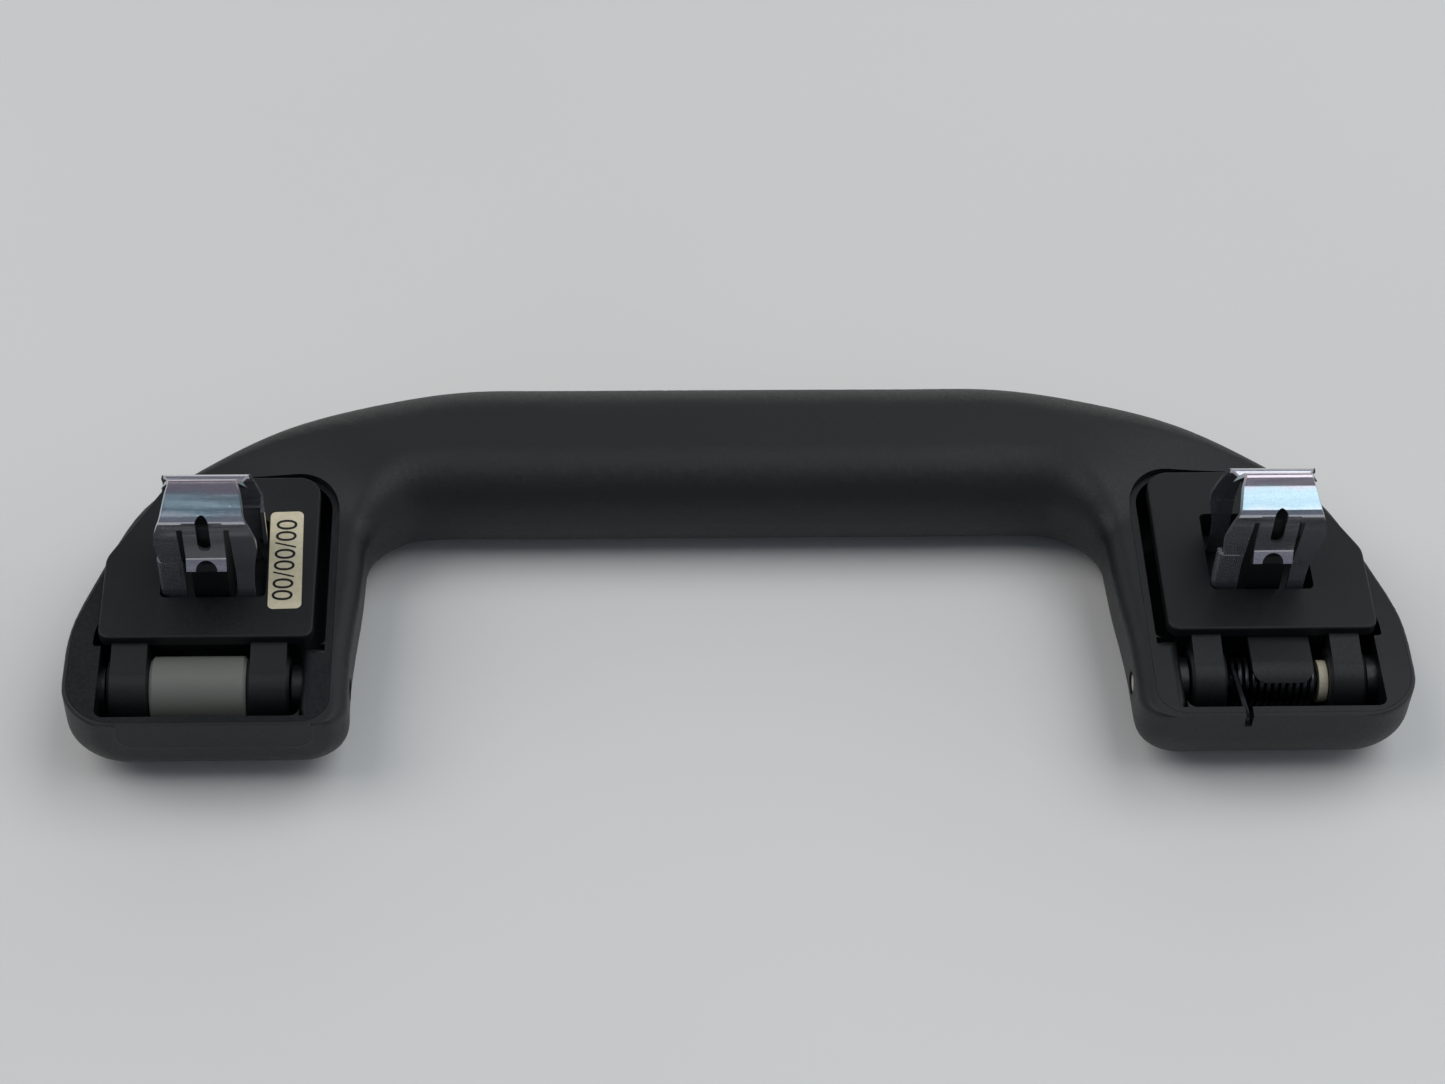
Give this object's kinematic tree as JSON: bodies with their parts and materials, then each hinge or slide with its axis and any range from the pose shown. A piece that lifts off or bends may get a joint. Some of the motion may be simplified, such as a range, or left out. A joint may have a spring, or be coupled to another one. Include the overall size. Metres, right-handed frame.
{
  "type": "roof grab handle",
  "caption": "Folding roof grab handle in dark satin plastic, hinged at both ends, with sheet-steel spring clips, a damped left hinge and a coil return spring on the right.",
  "frame": {"origin": "centre of the underside, on the surface that the handle lies on", "axes": "+X along the handle from the damped left hinge to the sprung right hinge, +Y from the hinge ends towards the grip bar, +Z towards the roof, the way the clips point"},
  "size_m": [0.2284, 0.0776, 0.0431],
  "materials": {
    "handle_plastic": "fine grained satin",
    "hard_plastic": "smooth semi-gloss",
    "pale_plastic": "natural cream",
    "damper_plastic": "satin grey",
    "pin_steel": "drawn rod",
    "spring_steel": "drawn wire",
    "zinc_steel": "zinc plated",
    "seal_rubber": "smooth",
    "label_paper": "uncoated"
  },
  "bodies": {
    "root": {"handle_body": "handle_plastic", "left_hinge_frame": "hard_plastic", "right_hinge_frame": "hard_plastic", "left_pivot_pin": "pin_steel", "right_pivot_pin": "pin_steel", "damper_rotor": "pale_plastic", "return_spring": "spring_steel"},
    "left_bracket_body": {"left_bracket": "hard_plastic", "left_clip": "zinc_steel", "left_lock_wedge": "hard_plastic", "left_cap": "hard_plastic", "damper_body": "damper_plastic", "damper_cap": "damper_plastic", "damper_seals": "seal_rubber", "date_label": "label_paper"},
    "right_bracket_body": {"right_bracket": "hard_plastic", "right_clip": "zinc_steel", "right_lock_wedge": "hard_plastic", "right_cap": "hard_plastic", "spring_washer": "pale_plastic"}
  },
  "joints": [
    {"name": "left_hinge", "type": "hinge", "parent": "root", "child": "left_bracket_body", "pos_m": [-0.092, -0.027, 0.0118], "axis": [1, 0, 0], "range_deg": [0, 85]},
    {"name": "right_hinge", "type": "hinge", "parent": "root", "child": "right_bracket_body", "pos_m": [0.092, -0.027, 0.0118], "axis": [1, 0, 0], "range_deg": [0, 85], "stiffness_Nm_per_rad": 0.05, "springref_deg": -57.3}
  ]
}
